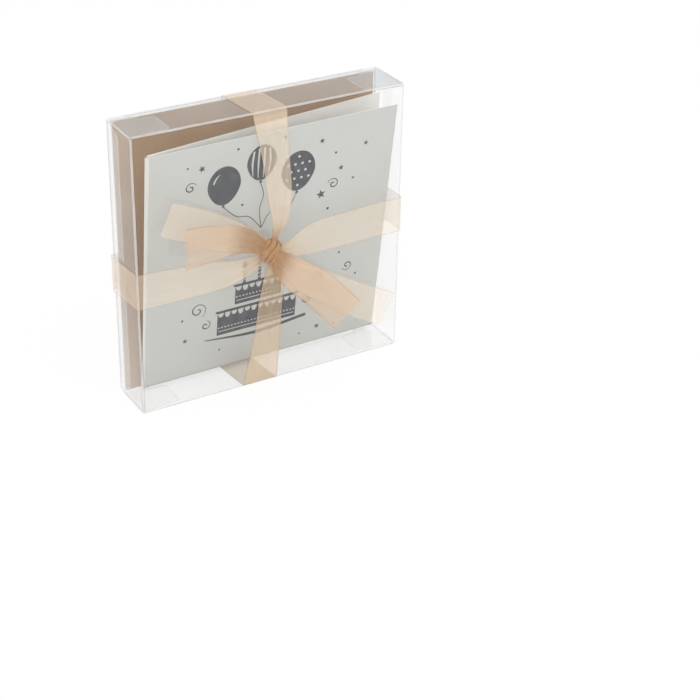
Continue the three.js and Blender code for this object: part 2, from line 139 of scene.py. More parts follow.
def new_group(name, inputs, outputs):
    """inputs: labels with their defaults, one number or three. outputs: labels of single numbers."""
    group = bpy.data.node_groups.new(name, "ShaderNodeTree")
    for label, default in inputs.items():
        kind = "NodeSocketVector" if isinstance(default, tuple) else "NodeSocketFloat"
        group.interface.new_socket(label, in_out="INPUT", socket_type=kind).default_value = default
    for label in outputs:
        group.interface.new_socket(label, in_out="OUTPUT", socket_type="NodeSocketFloat")
    given, result = group.nodes.new("NodeGroupInput"), group.nodes.new("NodeGroupOutput")
    print("node group:", name)
    return group, given.outputs, result


# %% Helpers for values and colours
def calc(tree, operation, *values, clamp=False):
    settings = {"operation": operation, "use_clamp": clamp}
    inputs = {f"at{i}": value for i, value in enumerate(values)}
    return node(tree, "ShaderNodeMath", settings, **inputs).outputs[0]


def ramp(tree, value, start, end):
    """0 at start and 1 at end, even between them and level beyond."""
    made = node(tree, "ShaderNodeMapRange", {"clamp": True}, at0=value, at1=start, at2=end)
    return made.outputs[0]


def noise(tree, place, scale, detail, **more):
    made = node(tree, "ShaderNodeTexNoise", Vector=place, Scale=scale, Detail=detail, **more)
    return made.outputs["Fac"]


def stretch(tree, place, scale):
    return node(tree, "ShaderNodeMapping", Vector=place, Scale=scale).outputs["Vector"]


def bumps(tree, height, strength, depth):
    """The normals of a surface that stands up by depth, in metres, where height is 1."""
    made = node(tree, "ShaderNodeBump", Strength=strength, Distance=depth, Height=height)
    return made.outputs["Normal"]


def linear(red, green, blue):
    """A colour as a screen shows it, in the linear values that sockets hold."""
    scaled = [value / 255 for value in (red, green, blue)]
    return tuple(v / 12.92 if v <= 0.04045 else ((v + 0.055) / 1.055) ** 2.4 for v in scaled)


def blend_colour(tree, factor, dark, light):
    """dark and light are sockets or colours."""
    ends = [c if isinstance(c, bpy.types.NodeSocket) else (*linear(*c), 1) for c in (dark, light)]
    mixed = node(tree, "ShaderNodeMix", {"data_type": "RGBA"}, at0=factor, at6=ends[0], at7=ends[1])
    return mixed.outputs[2]


# %% [markdown]
# Small helpers for thin pieces
#
# The folds, the cut edges and the ribbon are thin surfaces: rows of points with four-cornered
# faces between them. Their materials find their way along such a surface by a UV map.

# %% Helpers for meshes
def paint(obj, material):
    obj.data.materials.clear()
    obj.data.materials.append(material)


def grid_faces(rows, columns, closed=False):
    """Faces between rows of points. closed joins the last row to the first."""
    grid = np.arange(rows * columns).reshape(rows, columns)
    after = np.roll(grid, -1, axis=0)
    if not closed:
        grid, after = grid[:-1], after[:-1]
    return np.stack([grid[:, :-1], grid[:, 1:], after[:, 1:], after[:, :-1]], -1).reshape(-1, 4)


def grid_map(across, along):
    """One UV pair for each point of a grid, from its columns' places and its rows' places."""
    return np.stack(np.meshgrid(across, along), -1).reshape(-1, 2)


def new_piece(name, points, faces, material, map_name=None, uv=None, smooth=True):
    """A surface in the scene. uv is a pair for each point, kept in the map called map_name."""
    mesh = bpy.data.meshes.new(name)
    mesh.from_pydata((np.asarray(points, float) * MM).tolist(), [], np.asarray(faces).tolist())
    if map_name:
        corners = np.asarray(uv, float)[np.ravel(faces)]
        mesh.uv_layers.new(name=map_name).data.foreach_set("uv", corners.ravel())
    if smooth:
        mesh.shade_smooth()
    obj = bpy.data.objects.new(name, mesh)
    bpy.context.collection.objects.link(obj)
    paint(obj, material)
    return obj


def distances(line):
    """How far along a line each of its points lies."""
    return np.concatenate([[0], np.cumsum(np.linalg.norm(np.diff(line, axis=0), axis=1))])


def unit(vectors):
    return vectors / np.linalg.norm(vectors, axis=-1, keepdims=True)


# %% [markdown]
# Where a sheet shows its edge
#
# A clear sheet is hard to see from its face, and bright along its cut edges and folds, because
# light that is caught inside it comes out there. The same holds for card, whose cut edge is paler.
# This group marks the places where a surface turns away from the face of its sheet.

# %% Edge mask
FULL_EDGE = 0.9  # how far a surface has turned from the face, 0 to 1, where it is all edge


def build_edge_group():
    group, given, result = new_group("sheet_edge", {"Face": (0, 1, 0), "Start": 0.1}, ["Edge"])
    normal = node(group, "ShaderNodeTexCoord").outputs["Normal"]
    product = {"operation": "DOT_PRODUCT"}
    along = node(group, "ShaderNodeVectorMath", product, at0=normal, at1=given["Face"])
    turned = calc(group, "SUBTRACT", 1.0, calc(group, "ABSOLUTE", along.outputs["Value"]))
    feed(group, result, Edge=ramp(group, turned, given["Start"], FULL_EDGE))
    return group


EDGE = build_edge_group()


# %% [markdown]
# The clear sheet
#
# Clear film is seen almost only by what it reflects. Each surface sends back about a twentieth
# of the light that meets it face on, and far more at a slant. Refraction through so thin a sheet
# moves nothing that an eye can see. So the film here is a mirror that is mostly see-through: its
# alpha follows that law of reflection, from Layer Weight's slant. The law has a fifth power. The
# powers here are near it, and mostly a little lower, for panels that have been handled. The alpha
# also grows where the sheet shows a cut edge, and where a light haze has been rubbed into it.
# What such a sheet sends back is not lost to the things behind it, so its shadow is much weaker
# than its alpha.

# %% Clear film
# Painted highlight: where the film shows its edge it gets a pale colour and more alpha, for the light
# that comes out there.
FILM_EDGE_HIGHLIGHT = (236, 232, 226)
FILM_EDGE_HIGHLIGHT_ALPHA = 0.32
FILM_SHADOW = 0.3


def slant_alpha(tree, power, head_on):
    """The share of light that one surface of handled clear plastic sends back at a slant."""
    slant = node(tree, "ShaderNodeLayerWeight", Blend=0.5).outputs["Facing"]
    steep = calc(tree, "POWER", slant, power)
    return calc(tree, "MULTIPLY_ADD", steep, 1 - head_on, head_on)


def lighter_shadow(tree, alpha, share):
    """Lets more light through than the eye is shown: share is what is left of alpha in a shadow."""
    path = node(tree, "ShaderNodeLightPath")
    unseen = calc(tree, "MAXIMUM", path.outputs["Is Shadow Ray"], path.outputs["Is Diffuse Ray"])
    return calc(tree, "MULTIPLY", alpha, calc(tree, "MULTIPLY_ADD", unseen, share - 1, 1.0))


def clear_film(name, face, head_on, sends_back, power=4.0):
    material, tree, shader = new_material(name)
    place = node(tree, "ShaderNodeTexCoord").outputs["Object"]
    haze = noise(tree, place, 32.0, 3.0)
    uneven = calc(tree, "MULTIPLY_ADD", haze, 0.5, 0.75)
    alpha = calc(tree, "MULTIPLY", slant_alpha(tree, power, head_on), uneven)
    edge = node(tree, "ShaderNodeGroup", {"node_tree": EDGE}, Face=face, Start=0.05).outputs["Edge"]
    alpha = calc(tree, "MULTIPLY_ADD", edge, FILM_EDGE_HIGHLIGHT_ALPHA, alpha, clamp=True)
    wave = noise(tree, place, 16.0, 1.0)
    feed(
        tree, shader, Metallic=0.85, Roughness=0.08,
        Base_Color=blend_colour(tree, edge, sends_back, FILM_EDGE_HIGHLIGHT),
        Alpha=lighter_shadow(tree, alpha, FILM_SHADOW), Normal=bumps(tree, wave, 0.25, 0.0006),
    )
    return material


FILM_FACING = {
    "front": clear_film("clear_film_front_and_back", (0, 1, 0), 0.05, (245, 248, 250)),
    "side": clear_film("clear_film_sides", (1, 0, 0), 0.035, (244, 247, 249), 4.6),
    # Painted reflection: the lid and the base send back a greyer colour, for the grey contents that they
    # reflect.
    "lid": clear_film("clear_film_lid_painted_reflection", (0, 0, 1), 0.07, (210, 215, 218)),
    "base": clear_film("clear_film_base_painted_reflection", (0, 0, 1), 0.07, (224, 222, 216), 4.3),
    "base flap": clear_film("clear_film_base_flaps", (0, 0, 1), 0.02, (238, 237, 233), 5.5),
}
FILM_NODES = {
    "front": ["front_panel", "back_panel", "top_tuck_flap", "bottom_tuck_flap"],
    "side": ["left_side_panel", "right_side_panel", "glue_flap"],
    "lid": ["top_lid", "top_dust_flap_left", "top_dust_flap_right"],
    "base": ["bottom_lid"],
    "base flap": ["bottom_dust_flap_left", "bottom_dust_flap_right"],
}

for facing, names in FILM_NODES.items():
    for name in names:
        paint(NODES[name], FILM_FACING[facing])
print("film panels:", sum(map(len, FILM_NODES.values())))


# %% [markdown]
# The folds of the sheet
#
# Where clear sheet is scored and bent it turns milky along the bend, and the bend catches the
# light, so its pale line is partly the sheet's own whitening and partly a painted highlight. Over
# white the milky line looks a little grey, and over brown paper it looks bright, so one
# half-opaque pale colour does for both. A thin dark line of painted shade runs beside it on one
# side, where the bend pulls aside what is behind it. The CAD model leaves these folds out between
# its panels, since they are its hinges.
# Here each fold is a thin strip bent round the corner, with its lines drawn from a UV map: u runs
# across it. A cut edge shows as a fainter line of the same kind.

# %% Crease finish
# Painted light: the pale colour is partly the fold's own whitening and partly a painted highlight, and
# the dark colour is painted shade beside the fold.
MILKY_AND_HIGHLIGHT, PAINTED_SHADE_BESIDE_FOLD = (224, 221, 219), (112, 102, 95)
SOFT = 0.08  # how far the milky line wanders and fades out, as a share of the strip's width
# The dark line beside the fold is painted shade.
BESIDE = 0.16  # how far from the milky line the dark one lies


def crease_material(name, cover, width, dark):
    """cover is the alpha of the milky line and its painted highlight, width its half width, dark the
    alpha of the painted shade beside it.
    """
    material, tree, shader = new_material(name)
    place = node(tree, "ShaderNodeUVMap", {"uv_map": "fold"}).outputs["UV"]
    across = node(tree, "ShaderNodeSeparateXYZ", Vector=place).outputs["X"]
    uneven = noise(tree, stretch(tree, place, (0.6, 70, 1)), 1.0, 4.0)
    off = calc(tree, "ABSOLUTE", calc(tree, "SUBTRACT", across, 0.5))
    reach = calc(tree, "MULTIPLY_ADD", uneven, SOFT, width)
    core = ramp(tree, off, calc(tree, "ADD", reach, SOFT), reach)
    milky = calc(tree, "MULTIPLY", core, calc(tree, "MULTIPLY_ADD", uneven, 0.5, cover - 0.25))
    beside = calc(tree, "ABSOLUTE", calc(tree, "SUBTRACT", across, 0.5 + width + BESIDE))
    shadow = calc(tree, "MULTIPLY", ramp(tree, beside, 0.1, 0.03), dark)
    feed(
        tree, shader, Roughness=0.3, Specular_IOR_Level=0.5,
        Base_Color=blend_colour(tree, core, PAINTED_SHADE_BESIDE_FOLD, MILKY_AND_HIGHLIGHT),
        Alpha=calc(tree, "MAXIMUM", milky, shadow), Normal=bumps(tree, uneven, 0.4, 0.00005),
    )
    return material


# The folds in front get a stronger painted highlight and painted shade than the folds behind.
CREASE = crease_material("scored_fold_painted_light", 0.66, 0.15, 0.3)
BROAD_CREASE = crease_material("scored_fold_in_front_painted_light", 0.6, 0.2, 0.35)
FAINT_CREASE = crease_material("scored_fold_behind_painted_light", 0.3, 0.12, 0.0)
# The lines along cut edges are painted highlights, weaker on the flaps below.
CUT_EDGE_HIGHLIGHT = crease_material("cut_edge_highlight_line", 0.55, 0.4, 0.0)
FAINT_EDGE_HIGHLIGHT = crease_material("cut_edge_highlight_below", 0.2, 0.4, 0.0)


# %% Crease strips
def fold_profile(centre, radius, start, turn, legs, steps=7):
    """Across a fold: a short leg, the bend round its centre, and another leg. Angles in degrees."""
    angles = np.radians(start + turn * np.linspace(0, 1, steps))
    arc = np.array(centre) + radius * np.stack([np.cos(angles), np.sin(angles)], -1)
    hand = math.copysign(1, turn)
    into = hand * np.array([-math.sin(angles[0]), math.cos(angles[0])])
    out = hand * np.array([-math.sin(angles[-1]), math.cos(angles[-1])])
    return np.vstack([arc[0] - legs[0] * into, arc, arc[-1] + legs[1] * out])


def crease(name, profile, place, low, high, finish, turned=False):
    """place turns a point of the profile and a distance along the fold into x, y, z."""
    gone = distances(profile)
    gone = gone[-1] - gone if turned else gone
    stops = np.linspace(low, high, 25)
    points = [place(a, b, t) for t in stops for a, b in profile]
    uv = grid_map(gone / gone.max(), stops * MM)
    obj = new_piece(name, points, grid_faces(len(stops), len(profile)), finish, "fold", uv)
    return obj


# %% The upright folds
SKIN = 0.03  # how far a crease strip lies outside the sheet
CORNER_BEND = 0.6
CORNER_STOP = 0.9  # how far an upright fold stops short of the top and the bottom
upright_folds = {
    "fold_front_left": ((LEFT + CORNER_BEND, FRONT + CORNER_BEND), 180),
    "fold_front_right": ((RIGHT - CORNER_BEND, FRONT + CORNER_BEND), 270),
    "fold_back_right": ((RIGHT - CORNER_BEND, BACK - CORNER_BEND), 0),
    "fold_back_left": ((LEFT + CORNER_BEND, BACK - CORNER_BEND), 90),
}
low, high = CORNER_STOP + GROUND, HEIGHT - CORNER_STOP + GROUND
for name, (centre, start) in upright_folds.items():
    profile = fold_profile(centre, CORNER_BEND + SKIN, start, 90, (1.0, 1.0))
    finish = BROAD_CREASE if name == "fold_front_left" else FAINT_CREASE
    strip = crease(name, profile, lambda a, b, t: (a, b, t), low, high, finish, "right" in name)
    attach(strip, "box")


# %% The folds of the lids and their flaps
LID_BEND, DUST_BEND, TUCK_BEND = 0.5, 0.55, 1.05
LID_STOP = 0.7  # how far a lid's fold stops short of the sides
TUCK_PLACE = 12.35  # from the middle of the box to the middle of the bend before a tuck flap
TUCK_STOP = 9.6


def ends_of_box(end):
    """Turns a level from the middle of the box, drawn for its top, into a level at either end."""
    return lambda z: MIDDLE + end * z


for end, word in ((1, "top"), (-1, "bottom")):
    level_of = ends_of_box(end)
    lift = lambda a, b, t: (t, a, level_of(b))
    profile = fold_profile((FRONT + LID_BEND, TOP - LID_BEND), LID_BEND + SKIN, 180, -90, (1.1, 1.1))
    finish = BROAD_CREASE if word == "top" else FAINT_CREASE
    low, high = LEFT + LID_STOP, RIGHT - LID_STOP
    strip = crease(f"fold_{word}_front", profile, lift, low, high, finish, True)
    start = (0, (FRONT - SKIN) * MM, level_of(TOP - 0.7) * MM)
    stop = (0, (FRONT + 0.7) * MM, level_of(TOP + SKIN) * MM)
    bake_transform(strip)

    profile = fold_profile((TUCK_PLACE, TOP - TUCK_BEND), TUCK_BEND + SKIN, 90, -90, (0.8, 0.6))
    low, high = LEFT + TUCK_STOP, RIGHT - TUCK_STOP
    strip = crease(f"fold_{word}_tuck", profile, lift, low, high, FAINT_CREASE)
    start = (0, 12.5 * MM, level_of(TOP + SKIN) * MM)
    stop = (0, 13.43 * MM, level_of(TOP - 1.2) * MM)
    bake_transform(strip)

    for side, hand in (("left", -1), ("right", 1)):
        swing = lambda a, b, t: (hand * a, t, level_of(b))
        profile = fold_profile((RIGHT - DUST_BEND, TOP - 1.0), DUST_BEND + SKIN, 0, 90, (0.9, 0.9))
        finish = CREASE if (end, hand) == (1, -1) else FAINT_CREASE
        strip = crease(f"fold_{word}_dust_{side}", profile, swing, FRONT + 1.0, BACK - 3.2, finish)
        start = (hand * (RIGHT + SKIN) * MM, 0, level_of(TOP - 0.9) * MM)
        stop = (hand * (RIGHT - 0.6) * MM, 0, level_of(TOP - 0.42) * MM)
        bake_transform(strip)
print("folds:", len(upright_folds) + 8)


# %% Lines along cut edges
def cut_edge_highlight_line(name, outline, place, body, finish, width=0.5):
    """A pale painted highlight just inside a cut edge. outline runs with the sheet on its left hand, in
    its plane.
    """
    line = np.array(outline, float)
    steps = unit(np.diff(line, axis=0))
    heading = unit(np.vstack([steps[:1], steps[:-1] + steps[1:], steps[-1:]]))
    spread = np.concatenate([[1], 1 / np.maximum(np.sum(heading[1:-1] * steps[1:], axis=1), 0.5), [1]])
    inward = np.stack([-heading[:, 1], heading[:, 0]], -1) * spread[:, None] * width
    points = [place(*p) for pair in zip(line, line + inward) for p in pair]
    faces = [(2 * i, 2 * i + 2, 2 * i + 3, 2 * i + 1) for i in range(len(line) - 1)]
    uv = grid_map((0, 1), distances(line) * MM)
    obj = new_piece(name, points, faces, finish, "fold", uv, smooth=False)
    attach(obj, body)
    return obj


DUST_LEVEL = TOP - 0.5 + SKIN  # the outside of a dust flap, from the middle of the box
DUST_OUTLINE = [
    (77.0, 11.3), (65.6, 11.3), (63.3, 6.7), (56.8, 6.7), (55.3, 6.2), (54.8, 4.7),
    (54.8, -9.0), (55.3, -10.55), (56.8, -11.2), (77.0, -13.4),
]
GLUE_OUTLINE = [(13.7, 154.9), (2.3, 149.9), (2.3, 5.6), (13.7, 0.6)]
GLUE_DEPTH = 0.65  # from the outside of the left wall to the inside of the glue flap
for end, word in ((1, "top"), (-1, "bottom")):
    for hand, side in ((-1, "left"), (1, "right")):
        on_flap = lambda a, b: (hand * a, b, MIDDLE + end * DUST_LEVEL)
        finish = CUT_EDGE_HIGHLIGHT if word == "top" else FAINT_EDGE_HIGHLIGHT
        cut_edge_highlight_line(f"edge_{word}_dust_{side}", DUST_OUTLINE, on_flap, f"{word}_dust_flap_{side}", finish)
on_glue_flap = lambda a, b: (LEFT + GLUE_DEPTH + SKIN, a, b + GROUND)
cut_edge_highlight_line("edge_glue_flap", GLUE_OUTLINE, on_glue_flap, "box", CUT_EDGE_HIGHLIGHT, 0.55)
print("cut edges: 5")


# %% [markdown]
# Paper and card
#
# Both are pressed from fibre, so both share one group of nodes: a fine grain for the height of
# the surface, and slow clouds that tint it. Kraft paper is coarse and brown with flecks. The
# card is smooth and pale, with whiter cut edges.

# %% Fibre group
def build_fibre_group():
    inputs = {"Grain": 900.0, "Cloud": 30.0}
    group, given, result = new_group("paper_fibre", inputs, ["Tint", "Height", "Flecks"])
    place = node(group, "ShaderNodeTexCoord").outputs["Object"]
    drawn = stretch(group, place, (1, 1, 0.35))
    spots = node(group, "ShaderNodeTexVoronoi", Vector=drawn, Scale=given["Grain"])
    feed(
        group, result,
        Tint=noise(group, place, given["Cloud"], 5.0),
        Height=noise(group, drawn, given["Grain"], 4.0),
        Flecks=ramp(group, spots.outputs["Distance"], 0.12, 0.04),
    )
    return group


FIBRE = build_fibre_group()


# %% Kraft paper and card stock
def fibre_material(name, colours, face, grain, cloud, depth, roughness, flecks):
    """colours: the darker and the lighter clouds, the flecks, and the cut edge."""
    dark, light, fleck, edge_colour = colours
    material, tree, shader = new_material(name)
    fibre = node(tree, "ShaderNodeGroup", {"node_tree": FIBRE}, Grain=grain, Cloud=cloud)
    colour = blend_colour(tree, ramp(tree, fibre.outputs["Tint"], 0.3, 0.7), dark, light)
    share = calc(tree, "MULTIPLY", fibre.outputs["Flecks"], flecks)
    colour = blend_colour(tree, share, colour, fleck)
    edge = node(tree, "ShaderNodeGroup", {"node_tree": EDGE}, Face=face, Start=0.2).outputs["Edge"]
    feed(
        tree, shader, Roughness=roughness, Specular_IOR_Level=0.3,
        Base_Color=blend_colour(tree, edge, colour, edge_colour),
        Normal=bumps(tree, fibre.outputs["Height"], 0.5, depth),
    )
    return material


def card_stock(name, dark, light, fleck, edge_colour, roughness):
    colours = (dark, light, fleck, edge_colour)
    return fibre_material(name, colours, (0, 0.99, 0.14), 700.0, 20.0, 0.00003, roughness, 0.12)


KRAFT = fibre_material(
    "kraft_paper", ((166, 131, 91), (178, 143, 102), (134, 102, 68), (196, 168, 134)),
    (0, 1, 0), 1400.0, 35.0, 0.000015, 0.85, 0.35,
)
CARD_FRONT = card_stock(
    "card_grey_face", (194, 194, 188), (199, 199, 194), (186, 185, 180), (240, 240, 234), 0.55
)
# Partly painted light: the inside of the card is paler, and its colour is raised further to stand in for
# light that it does not get behind the front leaf and the film.
CARD_BACK = card_stock(
    "card_pale_inside_and_painted_light", (236, 233, 226), (242, 239, 232), (224, 221, 212), (242, 242, 238), 0.6
)
CARD_FOLDED = card_stock(
    "card_folded_edge", (212, 211, 204), (224, 222, 214), (200, 199, 190), (230, 228, 220), 0.5
)
# Painted shade: a darker copy of the card, drawn as the shadow along its foot.
CARD_SHADED = card_stock(
    "card_foot_in_shade", (150, 148, 141), (160, 158, 151), (140, 138, 132), (150, 148, 141), 0.7
)
for name, obj in NODES.items():
    if name.startswith("envelope"):
        paint(obj, KRAFT)
paint(NODES["card_front_leaf"], CARD_FRONT)
paint(NODES["card_back_leaf"], CARD_BACK)


# %% [markdown]
# Smooth curves
#
# The drawing on the card and the ribbon are both given by a few points that a hand could mark
# out. One curve runs smoothly through them. Its spans are spaced by the root of their length,
# which keeps it from swinging out where long and short spans meet.

# %% Curves through stations
def through(stations, per_span):
    """A smooth curve through the rows of stations. The first three columns set the spacing."""
    points = np.array(stations, float)
    points = np.vstack([2 * points[0] - points[1], points, 2 * points[-1] - points[-2]])
    made = []
    for i in range(1, len(points) - 2):
        a, b, c, d = points[i - 1 : i + 3]
        gaps = [max(np.linalg.norm((q - p)[:3]) ** 0.5, 1e-3) for p, q in ((a, b), (b, c), (c, d))]
        into = (b - a) / gaps[0] - (c - a) / (gaps[0] + gaps[1]) + (c - b) / gaps[1]
        out = (c - b) / gaps[1] - (d - b) / (gaps[1] + gaps[2]) + (d - c) / gaps[2]
        into, out = into * gaps[1], out * gaps[1]
        for t in np.arange(per_span) / per_span:
            made.append(
                (2 * t**3 - 3 * t**2 + 1) * b + (t**3 - 2 * t**2 + t) * into
                + (3 * t**2 - 2 * t**3) * c + (t**3 - t**2) * out
            )
    made.append(points[-2])
    return np.array(made)


# %% [markdown]
# What is printed on the card
#
# The front of the card is printed in one dark ink: balloons, a cake with candles, stars and
# curls. Ink has no thickness that an eye can see, so each motif is a set of flat shapes drawn in
# the plane of the card, a few hundredths of a millimetre in front of it. Drawing them as outlines
# keeps their edges sharp at any distance. Shapes left in the colour of the card lie over the ink.

# %% The plane of the card
LEAN = math.radians(8.6)
TILT = math.radians(0.45)
CARD_STOCK = 0.35
CARD_SIZE = 143.2
INK_COAT = 0.03


def tilted(x, y, z):
    """A direction turned a little to one side, because the card doesn't stand quite straight."""
    cos, sin = math.cos(TILT), math.sin(TILT)
    return np.array([x * cos - z * sin, y, x * sin + z * cos])


CARD_ACROSS = tilted(1, 0, 0)
CARD_UP = tilted(0, -math.sin(LEAN), math.cos(LEAN))
CARD_OUT = tilted(0, -math.cos(LEAN), -math.sin(LEAN))
CARD_FOOT = np.array([-67.6, 8.06, 1.4 + GROUND])


def on_card(right, up, layer):
    """A place on the card's face, in metres. layer counts the coats of ink."""
    lift = CARD_STOCK + INK_COAT * (layer + 1)
    return (CARD_FOOT + CARD_ACROSS * right + CARD_UP * up + CARD_OUT * lift) * MM


# %% The fold of the card
BULGE_LOW, BULGE_HIGH = 0.35, 1.3
LEAVES_APART = 0.36  # how much wider the fold is than two leaves
LAP = 0.9  # how far the fold's two edges reach over the leaves


def card_fold(name):
    """The bend that joins the two leaves: a half round along their left edges, looser at the top."""
    front, rear = CARD_STOCK + 0.02, -CARD_STOCK - LEAVES_APART + 0.02
    deep = (front - rear) / 2
    angles = np.radians(np.linspace(90, 270, 13))
    points, shares = [], np.linspace(0, 1, 25)
    for share in shares:
        bulge = BULGE_LOW + (BULGE_HIGH - BULGE_LOW) * share**1.5
        profile = [(LAP, front - 0.01)]
        profile += [(bulge * math.cos(t), front - deep + deep * math.sin(t)) for t in angles]
        profile += [(LAP, rear + 0.01)]
        up = CARD_SIZE * share + (0.25 if share == 1 else 0) - (0.1 if share == 0 else 0)
        foot = CARD_FOOT + CARD_UP * up
        points += [foot + CARD_ACROSS * right + CARD_OUT * out for right, out in profile]
    obj = new_piece(name, points, grid_faces(len(shares), len(angles) + 2), CARD_FOLDED)
    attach(obj, "card")
    return obj


card_fold("card_fold")
print("card stands", round(math.degrees(LEAN), 1), "degrees back from upright")


# %% Drawing tools
def oval(x, y, rx, ry, start=0, end=360, steps=40):
    angles = np.radians(np.linspace(start, end, steps + (end - start < 360)))
    if end - start == 360:
        angles = angles[:-1]
    return [(x + rx * math.cos(t), y + ry * math.sin(t)) for t in angles]


def bar(left, right, low, high):
    return [(left, low), (right, low), (right, high), (left, high)]


def star(x, y, size, turn):
    """A star with five points. The first one points to turn, in degrees."""
    places = []
    for k in range(10):
        reach, angle = size * (0.42 if k % 2 else 1), math.radians(turn + 36 * k)
        places.append((x + reach * math.cos(angle), y + reach * math.sin(angle)))
    return places


def stroke(points, widths):
    """A pen line along the points as one closed outline. widths is one number, or one for each end."""
    line = np.array(points, float)
    ends = widths if isinstance(widths, tuple) else (widths, widths)
    heading = unit(np.gradient(line, axis=0))
    across = np.stack([-heading[:, 1], heading[:, 0]], -1)
    width = np.interp(np.linspace(0, 1, len(line)), [0, 0.5, 1], [ends[0], max(ends), ends[1]])
    off = across * width[:, None] / 2
    return [tuple(p) for p in np.vstack([line + off, (line - off)[::-1]])]


def level_stroke(left, right, level, width):
    return stroke([(left, level), ((left + right) / 2, level), (right, level)], width)


def curl(x, y, size, turns, start, hand):
    """A line that winds inwards. start is in degrees, and hand is 1 or -1."""
    t = np.linspace(0, 1, 44)
    angle = math.radians(start) + hand * 2 * np.pi * turns * t
    reach = size * (1 - 0.86 * t)
    return list(zip(x + reach * np.cos(angle), y + reach * np.sin(angle)))


def bend(*points, steps=26):
    """A smooth line through a few points of the drawing."""
    flat = through([[x, y, 0.0] for x, y in points], max(2, steps // (len(points) - 1)))
    return [tuple(p[:2]) for p in flat]


# %% Printing
def ink_material():
    material, tree, shader = new_material("printing_ink")
    place = node(tree, "ShaderNodeTexCoord").outputs["Object"]
    patch = noise(tree, place, 260.0, 4.0)
    feed(
        tree, shader, Roughness=0.6, Specular_IOR_Level=0.3,
        Base_Color=blend_colour(tree, ramp(tree, patch, 0.35, 0.75), (44, 44, 48), (72, 72, 75)),
        Normal=bumps(tree, patch, 0.3, 0.00003),
    )
    return material


# A coat is a layer and the place of its finish: ink, the card's grey over it, the painted shadow at the
# card's foot.
FINISHES = (ink_material(), CARD_FRONT, CARD_SHADED)
INKED, BARE, SHADED = (0, 0), (1, 1), (0, 2)


def printed(name, shapes):
    """shapes: pairs of an outline and its coat."""
    mesh = bpy.data.meshes.new(name)
    drawing = bmesh.new()
    for outline, (layer, finish) in shapes:
        sides = zip(outline, outline[1:] + outline[:1])
        turned = sum(x0 * y1 - x1 * y0 for (x0, y0), (x1, y1) in sides)
        places = outline if turned > 0 else outline[::-1]
        face = drawing.faces.new([drawing.verts.new(on_card(x, y, layer)) for x, y in places])
        face.material_index = finish
    bmesh.ops.triangulate(drawing, faces=drawing.faces[:])
    drawing.to_mesh(mesh)
    drawing.free()
    obj = bpy.data.objects.new(name, mesh)
    bpy.context.collection.objects.link(obj)
    for finish in FINISHES:
        mesh.materials.append(finish)
    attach(obj, "card")
    print(f"{name}: {len(shapes)} shapes")
    return obj


# A painted shadow where the card's foot meets the base.
printed("card_foot_painted_shadow", [(bar(0.6, CARD_SIZE, 0.0, 0.4), SHADED)])


# %% Balloons
def balloon(x, y, rx, ry, tie, kind):
    """Outlines of one balloon. kind is solid, striped or dotted, and tie is where its string ends."""
    angles = np.radians(np.arange(0, 360, 8))
    slimmer = [1 - 0.16 * max(0, -math.sin(t)) for t in angles]
    body = [(x + rx * math.cos(t) * s, y + ry * math.sin(t)) for t, s in zip(angles, slimmer)]
    foot = y - ry - 1.4
    neck = [(x - 1.1, foot), (x + 1.1, foot), (x, y - ry + 0.6)]
    string = bend(
        (x, foot), (x * 0.7 + tie[0] * 0.3 + 1.5, y - ry - 9),
        (x * 0.3 + tie[0] * 0.7 - 1, y * 0.35 + tie[1] * 0.65 - 2), tie,
    )
    shapes = [(body, INKED), (neck, INKED), (stroke(string, 0.45), INKED)]
    if kind == "striped":
        for share in (-0.55, -0.2, 0.15, 0.5):
            tall = ry * 0.86 * (1 - share**2) ** 0.5
            across = x + rx * share
            line = bend((across, y - tall), (x + rx * share * 1.15, y), (across, y + tall))
            shapes.append((stroke(line, (0.3, 1.1)), BARE))
    elif kind == "dotted":
        for row in range(-2, 3):
            for column in range(-2, 3):
                dx, dy = (column + 0.5 * (row % 2)) * rx * 0.42, row * ry * 0.36
                if (dx / rx) ** 2 + (dy / ry) ** 2 < 0.6:
                    shapes.append((oval(x + dx, y + dy, 0.75, 0.75, steps=14), BARE))
    else:
        shapes.append((stroke(oval(x, y, rx * 0.66, ry * 0.7, 115, 165, 12), (0.2, 0.9)), BARE))
    return shapes


STRINGS_MEET = (66, 86)
printed(
    "print_balloons",
    balloon(43, 117, 9.5, 11.5, STRINGS_MEET, "solid")
    + balloon(64, 126, 8.5, 10.5, STRINGS_MEET, "striped")
    + balloon(86, 116, 10, 12, STRINGS_MEET, "dotted"),
)

# %% Cake
TIERS = [(43, 91, 22, 37), (53, 81, 40, 52)]
CANDLES = (58, 67, 76)
cake = [(stroke(bend((36, 20.6), (67, 17.8), (98, 20.6)), (0.6, 2.0)), INKED)]
for left, right, low, high in TIERS:
    cake.append((bar(left, right, low, high), INKED))
    drops = int((right - left) / 4)
    step = (right - left) / drops
    for k in range(drops):
        middle, deep = left + (k + 0.5) * step, 2.6 + 0.8 * (k % 2)
        drop = oval(middle, high - 0.6, 0.42 * step, deep, 180, 360, 16)
        cake.append((drop, BARE))
    cake.append((level_stroke(left + 1, right - 1, low + 2.4, 0.5), BARE))
    for k in range(2 * drops):
        cake.append((oval(left + (k + 0.5) * step / 2, low + 4.8, 0.5, 0.5, steps=10), BARE))
    cake.append((level_stroke(left - 1.2, right + 1.2, high + 0.4, 1.3), INKED))
for x in CANDLES:
    left, right = x - 0.9, x + 0.9
    cake.append((bar(left, right, 53, 61), INKED))
    for y in (54.6, 57, 59.4):
        cake.append(([(left, y - 0.5), (right, y + 0.3), (right, y + 0.9), (left, y + 0.1)], BARE))
    flame = bend((x, 62), (x + 1.3, 63.8), (x + 0.1, 67.6), (x - 1.3, 63.8), (x, 62), steps=24)[:-1]
    cake.append((flame, INKED))
printed("print_cake", cake)

